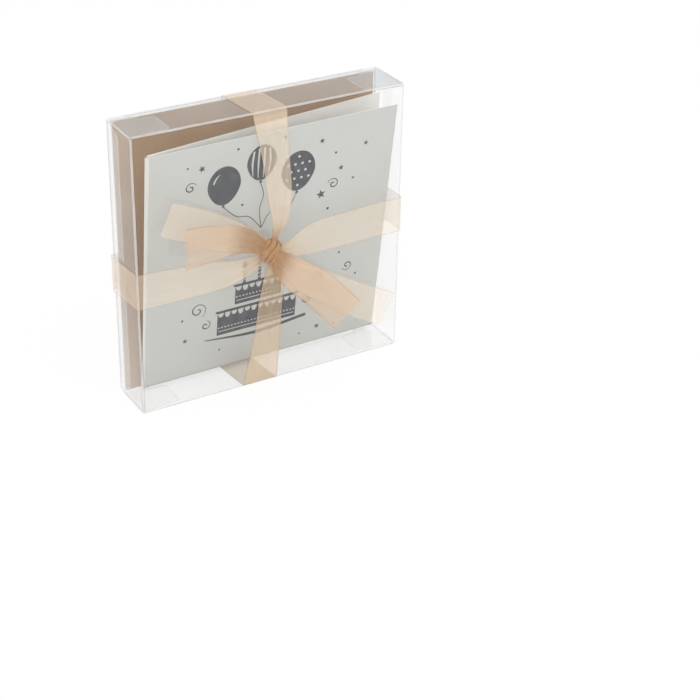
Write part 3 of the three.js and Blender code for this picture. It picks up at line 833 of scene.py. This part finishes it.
# %% Stars, dots and curls
STARS = [
    (101, 98, 3.0, 100), (99, 131, 1.8, 90), (30, 130, 2.2, 110), (112, 112, 1.8, 85),
    (106, 10, 1.9, 80), (24, 24, 1.7, 95), (126, 124, 1.6, 70),
]
DOTS = [
    (54, 103, 0.7), (106, 88, 0.8), (50, 137, 0.7), (77, 138, 0.8), (108, 122, 0.7),
    (22, 132, 0.6), (120, 104, 0.7), (116, 57, 0.7), (128, 40, 0.7), (95, 8, 0.6), (117, 9, 0.7),
    (22, 38, 0.7), (45, 12, 0.6),
]
CURLS = [
    (31, 42, 5.2, 1.4, 300, 1), (103, 43, 5.2, 1.4, 240, -1), (36, 31, 3.2, 1.2, 80, -1),
    (98, 31, 3.2, 1.2, 100, 1), (24, 120, 3.4, 1.3, 20, 1), (108, 103, 3.6, 1.3, 160, -1),
    (122, 47, 3.4, 1.3, 200, 1),
]
scatter = [(star(*place), INKED) for place in STARS]
scatter += [(oval(x, y, size, size, steps=12), INKED) for x, y, size in DOTS]
scatter += [(stroke(curl(*place), (0.3, 0.75)), INKED) for place in CURLS]
printed("print_stars_and_curls", scatter)


# %% [markdown]
# Sheer ribbon
#
# Organza is woven so openly from fine, stiff threads that one layer hides about a third of what
# is behind it and two layers about half. Its woven edges, where the threads lie close, show as
# darker lines. The weave runs along each strip, so the strips carry a UV map in metres: u across
# the ribbon, v along it. The alpha is set from the weave, from the edge, and from the slant. A
# strip also carries how closely it is crowded where it is gathered: cloth drawn into a third of
# its width hides at least as much as three layers, and its colour deepens. Where a strip lies
# over its own reflection or shadow, it only hides more, so the number of layers is carried apart.

# %% Weave group
FULL_TURN = 2 * math.pi


def build_weave_group():
    outputs = ["Threads", "Streaks", "Crumple", "Selvedge"]
    group, given, result = new_group("sheer_weave", {"Thread": 0.0003, "Width": 0.02}, outputs)
    place = node(group, "ShaderNodeUVMap", {"uv_map": "ribbon"}).outputs["UV"]
    axes = node(group, "ShaderNodeSeparateXYZ", Vector=place).outputs

    def thread(coordinate):
        phase = calc(group, "DIVIDE", coordinate, given["Thread"])
        turn = calc(group, "MULTIPLY", phase, FULL_TURN)
        return calc(group, "MULTIPLY_ADD", calc(group, "COSINE", turn), 0.5, 0.5)

    share = calc(group, "DIVIDE", axes["X"], given["Width"])
    from_middle = calc(group, "ABSOLUTE", calc(group, "SUBTRACT", share, 0.5))
    feed(
        group, result,
        Threads=calc(group, "MAXIMUM", thread(axes["X"]), thread(axes["Y"])),
        Streaks=noise(group, stretch(group, place, (2600, 25, 1)), 1.0, 3.0),
        Crumple=noise(group, stretch(group, place, (190, 55, 1)), 1.0, 1.0, Distortion=0.3),
        Selvedge=ramp(group, from_middle, 0.472, 0.486),
    )
    return group


WEAVE = build_weave_group()


# %% Organza
SELVEDGE_COLOUR = (172, 144, 114)
CLOTH_SHADOW = 0.6


def organza(name, cover_flat, warm, pale, shade, deepest):
    """warm and pale are the colours of its streaks. shade is full where crowding is deepest."""
    material, tree, shader = new_material(name)
    weave = node(tree, "ShaderNodeGroup", {"node_tree": WEAVE}, Thread=0.00032, Width=0.02).outputs
    crowding = node(tree, "ShaderNodeAttribute", {"attribute_name": "crowding"}).outputs["Fac"]
    # More than one layer paints the shadow under the base and a paler zone below the lid's edge.
    layers_and_painted_light = node(tree, "ShaderNodeAttribute", {"attribute_name": "layers_and_painted_light"}).outputs["Fac"]
    slant = node(tree, "ShaderNodeLayerWeight", Blend=0.5).outputs["Facing"]

    streak = ramp(tree, weave["Streaks"], 0.15, 0.85)
    colour = blend_colour(tree, streak, warm, pale)
    edge_share = calc(tree, "MULTIPLY", weave["Selvedge"], 0.6)
    colour = blend_colour(tree, edge_share, colour, SELVEDGE_COLOUR)
    colour = blend_colour(tree, ramp(tree, crowding, 1.15, deepest), colour, shade)

    cover = calc(tree, "MULTIPLY_ADD", weave["Threads"], 0.1, cover_flat - 0.07)
    crumple = ramp(tree, weave["Crumple"], 0.3, 0.7)
    steep = calc(tree, "POWER", slant, 2.5)
    for value, share in ((steep, 0.3), (weave["Selvedge"], 0.2), (crumple, 0.03), (streak, -0.05)):
        cover = calc(tree, "MULTIPLY_ADD", value, share, cover)
    clear = calc(tree, "SUBTRACT", 1.0, calc(tree, "MINIMUM", cover, 0.95))
    clear = calc(tree, "POWER", clear, calc(tree, "MULTIPLY", crowding, layers_and_painted_light))
    alpha = calc(tree, "SUBTRACT", 1.0, clear, clamp=True)

    height = calc(tree, "MULTIPLY_ADD", weave["Streaks"], 0.6, weave["Threads"])
    height = calc(tree, "MULTIPLY_ADD", weave["Crumple"], 5.0, height)
    feed(
        tree, shader, Base_Color=colour, Alpha=lighter_shadow(tree, alpha, CLOTH_SHADOW),
        Normal=bumps(tree, height, 0.45, 0.00005), Roughness=0.42, Specular_IOR_Level=0.35,
        Sheen_Weight=0.3, Sheen_Roughness=0.4,
    )
    return material


ORGANZA = organza("organza_band", 0.32, (242, 217, 188), (252, 234, 210), (206, 176, 140), 4.0)
# Painted shade: a darker copy of the band for the strip that runs down the front and under the base.
ORGANZA_LOW_SHADED = organza(
    "organza_lower_band_painted_shade", 0.3, (212, 186, 153), (224, 200, 170), (196, 162, 124), 4.0
)
ORGANZA_BOW = organza("organza_bow", 0.3, (216, 179, 141), (234, 203, 171), (178, 136, 94), 1.6)
# The knot's deep colour fills the valleys between its folds: partly denser cloth, partly painted shade.
KNOTTED = organza("organza_knot", 0.5, (200, 156, 112), (218, 178, 136), (132, 84, 42), 4.2)


# %% [markdown]
# Cloth from stations
#
# A tied ribbon is one flat strip that is bent, gathered and pleated, never stretched. It is
# easiest to describe by stations along it: the middle of the strip, and the vector from there to
# its edge. A smooth curve runs through them, and wherever the strip is narrower than it was
# woven, the spare width stands up in pleats.

# %% Strips of cloth
RIBBON = 20.0
ACROSS = 36
# share of the height, number across the strip, drift along it, and start
PLEATS = ((0.55, 3.0, 1, 0), (0.30, 5.0, -1.3, 1), (0.15, 8.0, 2.1, 2))


def carry(obj, name, values):
    """Stores one number at each point of a piece, for its material to read."""
    made = obj.data.attributes.new(name, "FLOAT", "POINT")
    made.data.foreach_set("value", np.ravel(values))


def cloth_strip(name, middle, half, outward, pleat, lying, seed, finish, layers_and_painted_light=None):
    """A strip as a grid with a UV map in metres. pleat is the height of a full gather."""
    along = distances(middle)
    gather = np.clip(1 - 2 * np.linalg.norm(half, axis=1) / RIBBON, 0, 1)
    u = np.linspace(0, 1, ACROSS + 1)
    phase = seed * 1.7 + along[:, None] * 0.035
    wave = sum(
        high * np.cos(FULL_TURN * count * u + drift * phase + start)
        for high, count, drift, start in PLEATS
    )
    relief = pleat * gather[:, None] * (wave + (1 if lying else 0))
    points = (
        middle[:, None, :] + half[:, None, :] * (2 * u - 1)[None, :, None]
        + outward[:, None, :] * relief[:, :, None]
    )
    rows, columns = relief.shape
    uv = grid_map(u * RIBBON * MM, along * MM)
    obj = new_piece(name, points.reshape(-1, 3), grid_faces(rows, columns), finish, "ribbon", uv)
    drawn = np.clip(1 / np.maximum(1 - gather, 0.25), 1, 4) ** 1.25
    spacing = 2 * np.linalg.norm(half, axis=1)[:, None] / ACROSS
    folded = np.hypot(1, np.gradient(relief, axis=1) / spacing)
    carry(obj, "crowding", drawn[:, None] * folded / folded.mean(axis=1)[:, None])
    carry(obj, "layers_and_painted_light", np.repeat(np.ones(rows) if layers_and_painted_light is None else layers_and_painted_light, columns))
    print(f"{name}: {along[-1]:.0f} mm long")
    return obj


# %% [markdown]
# The band round the sides
#
# One length of ribbon runs level round the box, from the knot over the left edge, along the
# back, and over the right edge to the knot again. It lies flat on the sheet, rounds each corner,
# a little loosely at two of them, and is drawn together and pleated in the last few centimetres
# before the knot.

# %% Runs of ribbon over the box
CLEAR = 0.14  # from the sheet to the middle of the cloth
BEND = 0.7
CORNER_X, CORNER_Y, CORNER_Z = (face - BEND + CLEAR for face in (RIGHT, BACK, TOP))


def corner(x, y, start, turn):
    """Points round a corner of the box, with the direction that faces out."""
    angles = np.radians(start + turn * np.linspace(0, 1, 6))
    facing = np.stack([np.cos(angles), np.sin(angles)], -1)
    return np.array([x, y]) + BEND * facing, facing


def straight(a, b, facing, steps):
    t = np.linspace(0, 1, steps)[:, None]
    line = (1 - t) * np.array(a, float) + t * np.array(b, float)
    return line, np.repeat([np.array(facing, float)], steps, axis=0)


def joined(runs):
    """Runs end to end, without doubled points: the points, what faces out, and the distances."""
    line, out = (np.vstack([run[i] for run in runs]) for i in (0, 1))
    gone = distances(line)
    new = np.concatenate([[True], np.diff(gone) > 1e-6])
    return line[new], out[new], gone[new]


# %% Level band
LEFT_START, RIGHT_END = -5.5, 3.0
plan, facing, distance = joined([
    straight((LEFT_START, FRONT - CLEAR), (-CORNER_X, FRONT - CLEAR), (0, -1), 90),
    corner(-CORNER_X, -CORNER_Y, 270, -90),
    straight((-CORNER_X - BEND, -CORNER_Y), (-CORNER_X - BEND, CORNER_Y), (-1, 0), 24),
    corner(-CORNER_X, CORNER_Y, 180, -90),
    straight((-CORNER_X, BACK + CLEAR), (CORNER_X, BACK + CLEAR), (0, 1), 80),
    corner(CORNER_X, CORNER_Y, 90, -90),
    straight((CORNER_X + BEND, CORNER_Y), (CORNER_X + BEND, -CORNER_Y), (1, 0), 24),
    corner(CORNER_X, -CORNER_Y, 0, -90),
    straight((CORNER_X, FRONT - CLEAR), (RIGHT_END, FRONT - CLEAR), (0, -1), 90),
])
total = distance[-1]
# distance from the left end, height above the middle, and half width
level = through(
    [
        [0, -2.8, 3.2], [8, -6, 5], [18, -7.8, 6.9], [32, -7.4, 8.7], [52, -6.9, 9.5],
        [72, -6.6, 10], [99, -7.4, 10], [178, -2.8, 10], [257, 3.3, 10], [286, 2.9, 10],
        [total - 46, 2.1, 9.8], [total - 18, 0.9, 8.6], [total - 11, -0.6, 6.4],
        [total - 4, -1.8, 3.9], [total, -1.2, 3.2],
    ],
    12,
)
rise = np.interp(distance, level[:, 0], level[:, 1])
half_width = np.minimum(np.interp(distance, level[:, 0], level[:, 2]), RIBBON / 2)
zeros = np.zeros_like(distance)
# distance along the band, and how far the ribbon stands off there
LOOSE_CORNERS = ((98, 1.1), (total - 75, 0.7))
LOOSE_LENGTH = 9
for place, lift in LOOSE_CORNERS:
    stand_off = lift * np.exp(-(((distance - place) / LOOSE_LENGTH) ** 2))
    plan = plan + facing * stand_off[:, None]
band = cloth_strip(
    "ribbon_round_sides",
    np.column_stack([plan, MIDDLE + rise]),
    np.column_stack([zeros, zeros, half_width]),
    np.column_stack([facing, zeros]),
    pleat=0.5, lying=True, seed=1, finish=ORGANZA,
)
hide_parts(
    "ribbon_front_left", "ribbon_left_side", "ribbon_back_across", "ribbon_right_side",
    "ribbon_front_right",
)
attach(band, "box")


# %% [markdown]
# The upright bands
#
# The other length runs over the lid and under the base. The lids have to be able to open, so
# this length is made in four strips. Each front strip bends over a lid's hinge, and each rear
# strip lies over the lid at one end and down the back of the box at the other.

# %% Upright bands
SEAM = 13.3  # where a front strip ends on the lid and a rear strip starts
STEP = 0.22  # how far the rear strips stand off where they cross the level band


def upright(name, end, sections, stations, pleat, seed, layers_and_painted_light=((0, 1),), finish=ORGANZA):
    """end is 1 for the top and -1 for the bottom. stations: distance, right, half width.
    Layers are given as distance and the number of layers from there on, with an even change between; more
    than one layer paints shadow or a paler zone by letting the strip hide more."""
    line, out, gone = joined(sections)
    shape = through(stations, 12)
    right = np.interp(gone, shape[:, 0], shape[:, 1])
    half = np.minimum(np.interp(gone, shape[:, 0], shape[:, 2]), RIBBON / 2)
    flat = np.zeros_like(gone)
    return cloth_strip(
        name,
        np.column_stack([right, line[:, 0], MIDDLE + end * line[:, 1]]),
        np.column_stack([half, flat, flat]),
        np.column_stack([flat, out[:, 0], end * out[:, 1]]),
        pleat=pleat, lying=True, seed=seed, finish=finish, layers_and_painted_light=np.interp(gone, *zip(*layers_and_painted_light)),
    )


def front_over(start):
    """From the knot up the front and over the lid, as out and up from the middle of the box."""
    return [
        straight((FRONT - CLEAR, start), (FRONT - CLEAR, CORNER_Z), (-1, 0), 110),
        corner(-CORNER_Y, CORNER_Z, 180, -90),
        straight((-CORNER_Y, TOP + CLEAR), (SEAM, TOP + CLEAR), (0, 1), 30),
    ]


behind = BACK + CLEAR
rear_over = [
    straight((SEAM, TOP + CLEAR), (CORNER_Y, TOP + CLEAR), (0, 1), 3),
    corner(CORNER_Y, CORNER_Z, 90, -90),
    straight((behind, CORNER_Z), (behind, 14), (1, 0), 70),
    straight((behind, 13.5), (behind + STEP, 11.5), (1, 0.1), 8),
    straight((behind + STEP, 11), (behind + STEP, -2.9), (1, 0), 14),
]

# %% The four upright strips
upper_front = upright(
    "ribbon_front_and_lid", 1, front_over(3.5),
    [
        [0, 0, 1.8], [4, 1.6, 2.2], [9, 3.6, 3.9], [17.5, 4.4, 5.7], [27, 3.9, 7], [49, 1.6, 7.9],
        [74, -1.6, 9.7], [102, -4, 10],
    ],
    # Just below the lid's edge the strip is given more layers, so it shows paler and denser there.
    0.5, 2, ((62.5, 1), (64, 1.9), (71, 1.9), (74.5, 1)),
)
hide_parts("ribbon_front_upper", "ribbon_over_lid")
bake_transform(upper_front)
lower_front = upright(
    "ribbon_front_and_base", -1, front_over(7),
    [
        [0, -0.7, 3.4], [6, -0.5, 4.8], [16, -1, 6.6], [28, -2.5, 7.3], [41, -3.8, 7.8],
        [70.5, -8.2, 10], [98, -10.5, 10],
    ],
    # Under the base the strip is given more layers: painted shadow where it lies in the box's shadow.
    0.5, 3, ((30, 1.2), (50, 2.4), (71, 2.4), (73, 3.2)), ORGANZA_LOW_SHADED,
)
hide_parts("ribbon_front_lower", "ribbon_under_base")
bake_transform(lower_front)
upper_back = upright(
    "ribbon_back_to_lid", 1, rear_over, [[0, -4, 10], [40, -5.6, 10], [82, -7.3, 10]], 0.0, 4
)
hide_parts("ribbon_back_upper")
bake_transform(upper_back)
lower_back = upright(
    "ribbon_back_to_base", -1, rear_over, [[0, -10.5, 10], [40, -9, 10], [82, -7.3, 10]], 0.0, 5
)
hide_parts("ribbon_back_lower")
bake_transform(lower_back)


# %% [markdown]
# The bow
#
# Each loop is one strip that leaves the knot, turns over at its far end and comes back in front.
# The tails are single strips. Stations give the middle of the strip as right, out and up from
# the knot, and half of its width as right and up.

# %% Loops and tails
KNOT = np.array([-3.6, FRONT, MIDDLE + 2])
BOW = {
    "bow_left_loop": [
        [1.5, 4.6, 0, 0.5, 2.4], [-3, 3.9, 2, 0.6, 3.6], [-6, 3.9, 4, 0.9, 5], [-10.5, 4.2, 7, 1.3, 6],
        [-18.5, 5, 10.2, 1.5, 7.3], [-39, 6.5, 13, -1.5, 10.5], [-50, 8, 14, 0, 11],
        [-51, 10.5, 15, 0, 11], [-42.5, 12.5, 16.5, -1.8, 10.5], [-32.5, 12.5, 16, 0.4, 9.5],
        [-22, 11, 14.2, 1.5, 7.3], [-13.5, 9, 10, 1.3, 6], [-7, 7.2, 5, 0.9, 5], [-3, 6.2, 2.5, 0.6, 3.6],
        [1.5, 5.6, 0, 0.5, 2.4],
    ],
    "bow_right_loop": [
        [-1, 4.6, 1, 2, 2], [1.5, 4, -2.6, 2.6, 3], [4, 4.2, -7, 3.6, 4], [15, 5.2, -18, 4.3, 8],
        [27.5, 5.6, -28.5, 6.7, 7], [37, 6, -39, 7.4, 7], [45, 7.5, -48, 8, 6.5],
        [43.5, 10, -46.5, 8, 6.5], [33, 12, -34.5, 7.4, 7], [23, 12.5, -23.5, 6.7, 7],
        [11.5, 11, -14, 4.3, 8], [5.5, 9, -8, 3.9, 6], [1.5, 6.8, -2.6, 2.6, 3], [-1, 5.6, 1, 2, 2],
    ],
    "bow_left_tail": [
        [1, 4, 0, 0, 2], [-2.5, 2.8, 1.5, 0, 3], [-6, 2, 4, 0.5, 4.5], [-15.5, 2.4, 9, 2.9, 7],
        [-29.5, 3.2, 16, 6, 7.5], [-44, 4, 24, 5.5, 8], [-58.5, 4, 30.5, 4, 8.5],
    ],
    "bow_right_tail": [
        [-1, 4, 0, 1, 2], [2, 2.8, -2.5, 2, 2], [5.5, 2, -7, 2.2, 3], [16, 2.6, -18, 3, 6],
        [30.5, 3.4, -28.5, 4.3, 7.5], [42.5, 4, -36, 5.2, 7.5], [58, 4, -45.5, 5.3, 8.5],
        [73, 3, -54, 5.2, 8.6],
    ],
}
for seed, (name, stations) in enumerate(BOW.items()):
    curve = through([[x, -out, z, hx, hz] for x, out, z, hx, hz in stations], 10)
    middle = KNOT + curve[:, :3]
    half = np.column_stack([curve[:, 3], np.zeros(len(curve)), curve[:, 4]])
    heading = unit(np.gradient(middle, axis=0))
    outward = unit(np.cross(heading, half))
    finish = ORGANZA_BOW if name.endswith("loop") else ORGANZA
    strip = cloth_strip(name + "_cloth", middle, half, outward, 0.75, False, 6 + seed, finish)
    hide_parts(name)
    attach(strip, "box")


# %% [markdown]
# The knot
#
# The knot is the ribbon itself, gathered to a cord and pulled tight round the middle of the bow.
# It is not a ball: folds run slantwise over it, some stand proud and others are pulled under, and
# the cloth that spreads from both ends of the wrap is crushed into short, uneven pleats. It is
# one strip wound once round the bow's axis, with folds of different heights across it.

# %% Knot
TURN = math.radians(57)
bow_axis = np.array([-math.sin(TURN), 0, math.cos(TURN)])
bow_cross = np.array([math.cos(TURN), 0, math.sin(TURN)])
knot_out = np.array([0, -1, 0])
AROUND, OVER = 120, 84


def knot_wrap(name, long, wide, deep, slip, seed):
    """long is half the wrap's length along the bow's axis, wide and deep its other radii."""
    angles = np.linspace(0, FULL_TURN, AROUND, endpoint=False)[:, None]
    s = np.linspace(-1, 1, OVER + 1)[None, :]
    bulge = (1 - 0.72 * np.abs(s) ** 2) ** 0.5
    drift = s + 0.3 * np.sin(angles + seed) * (1 - s**2) + 0.12 * np.sin(2 * angles)
    folds = (
        0.15 * np.abs(np.cos(np.pi * (1.7 * drift + 0.35 * seed)))
        + 0.07 * np.cos(FULL_TURN * 3.1 * drift + 1.2 * np.sin(angles))
        + 0.035 * np.cos(FULL_TURN * 6.7 * drift - 1.6 * np.cos(2 * angles) + seed)
    )
    lump = 1 + 0.1 * np.cos(2 * angles + seed) + 0.08 * np.cos(3 * angles - 2 * seed + 1.5 * s)
    swell = (bulge * (1 + folds) * lump)[:, :, None]
    side = (wide * np.cos(angles))[:, :, None] * bow_cross
    front = (deep * np.sin(angles))[:, :, None] * knot_out
    skew = s + slip * np.sin(angles) * (1 - 0.4 * s**2) + 0.16 * np.cos(angles) * (1 - s**2)
    centre = KNOT - np.array([0, 4.6, 0])
    points = centre + (side + front) * swell + (long * skew)[:, :, None] * bow_axis
    faces = grid_faces(AROUND, OVER + 1, closed=True)
    uv = grid_map(((s + 1) * RIBBON / 2 * MM).ravel(), (angles * wide * MM).ravel())
    obj = new_piece(name, points.reshape(-1, 3), faces, KNOTTED, "ribbon", uv)
    # The valleys between the folds are drawn denser and darker: partly more cloth pulled under, partly
    # painted shade in the crevices.
    fold_valley_shade = (folds.max() - folds) / (folds.max() - folds.min())
    ends = np.clip(1.35 - 1.2 * np.abs(s) ** 2, 0, 1)
    crowded = (0.9 + 3.4 * fold_valley_shade**1.4) * ends
    carry(obj, "crowding", crowded)
    carry(obj, "layers_and_painted_light", np.ones_like(crowded))
    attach(obj, "box")
    return obj


knot = knot_wrap("bow_knot_wrap", 5.9, 5.6, 3.4, 0.42, 0.8)
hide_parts("bow_knot")


# %% [markdown]
# The light and the ground
#
# The object stands on a white sweep. The world is white to the eye and to reflections, and a
# little weaker as a light, and one large soft lamp from the upper left gives the folds of the
# ribbon their shape. A weaker lamp from the right fills the shade. Together they show a colour
# about as it is written.

# %% Lamps
LOOK_AT = (0, 0, 0.08)
LAMPS = (("key", (-0.75, -0.8, 1.1), 5.0), ("fill", (0.9, -0.7, 0.6), 2.5))  # name, place, watts
LAMP_WIDTH = 0.9


def lamp(name, place, power):
    light = bpy.data.lights.new(name, "AREA")
    light.shape = "DISK"
    light.size = LAMP_WIDTH
    light.energy = power
    obj = bpy.data.objects.new(name, light)
    bpy.context.collection.objects.link(obj)
    obj.location = place
    obj.rotation_mode = "QUATERNION"
    obj.rotation_quaternion = (Vector(LOOK_AT) - Vector(place)).to_track_quat("-Z", "Y")


for name, place, power in LAMPS:
    lamp(name, place, power)
print("lamps:", len(LAMPS))


# %% World and ground
WORLD_AS_LIGHT = 0.83  # how strong the world is as a light, where the eye sees 1
GROUND_SEEN = 0.85  # how much of the ground's white is its own, and not lit
REACH = 3000


def to_the_eye(tree):
    """1 for a ray from the camera, a mirror or a clear body, and 0 for one that only lights."""
    path = node(tree, "ShaderNodeLightPath")
    seen = calc(tree, "MAXIMUM", path.outputs["Is Camera Ray"], path.outputs["Is Glossy Ray"])
    return calc(tree, "MAXIMUM", seen, path.outputs["Is Transmission Ray"])


world = bpy.data.worlds.new("studio")
bpy.context.scene.world = world
world.use_nodes = True
sky = world.node_tree
sky.nodes.clear()
strength = calc(sky, "MULTIPLY_ADD", to_the_eye(sky), 1 - WORLD_AS_LIGHT, WORLD_AS_LIGHT)
backdrop = node(sky, "ShaderNodeBackground", Color=(1, 1, 1, 1), Strength=strength)
node(sky, "ShaderNodeOutputWorld", Surface=backdrop.outputs[0])

white, tree, shader = new_material("white_ground")
feed(tree, shader, Base_Color=(0.95, 0.95, 0.95, 1), Roughness=0.9)
own = node(tree, "ShaderNodeEmission", Color=(1, 1, 1, 1), Strength=1.02)
share = calc(tree, "MULTIPLY", to_the_eye(tree), GROUND_SEEN)
mixed = node(tree, "ShaderNodeMixShader", at0=share, at1=shader.outputs["BSDF"], at2=own.outputs[0])
ground_output = next(made for made in tree.nodes if made.type == "OUTPUT_MATERIAL")
feed(tree, ground_output, Surface=mixed.outputs[0])
corners = [(-REACH, -REACH, 0), (REACH, -REACH, 0), (REACH, REACH, 0), (-REACH, REACH, 0)]
ground = new_piece("ground", corners, [(0, 1, 2, 3)], white, smooth=False)
ground.location.z = -0.0001

bpy.context.scene.view_settings.view_transform = "Standard"
# A ray through the box and its ribbon crosses far more than eight see-through faces.
bpy.context.scene.cycles.transparent_max_bounces = 40
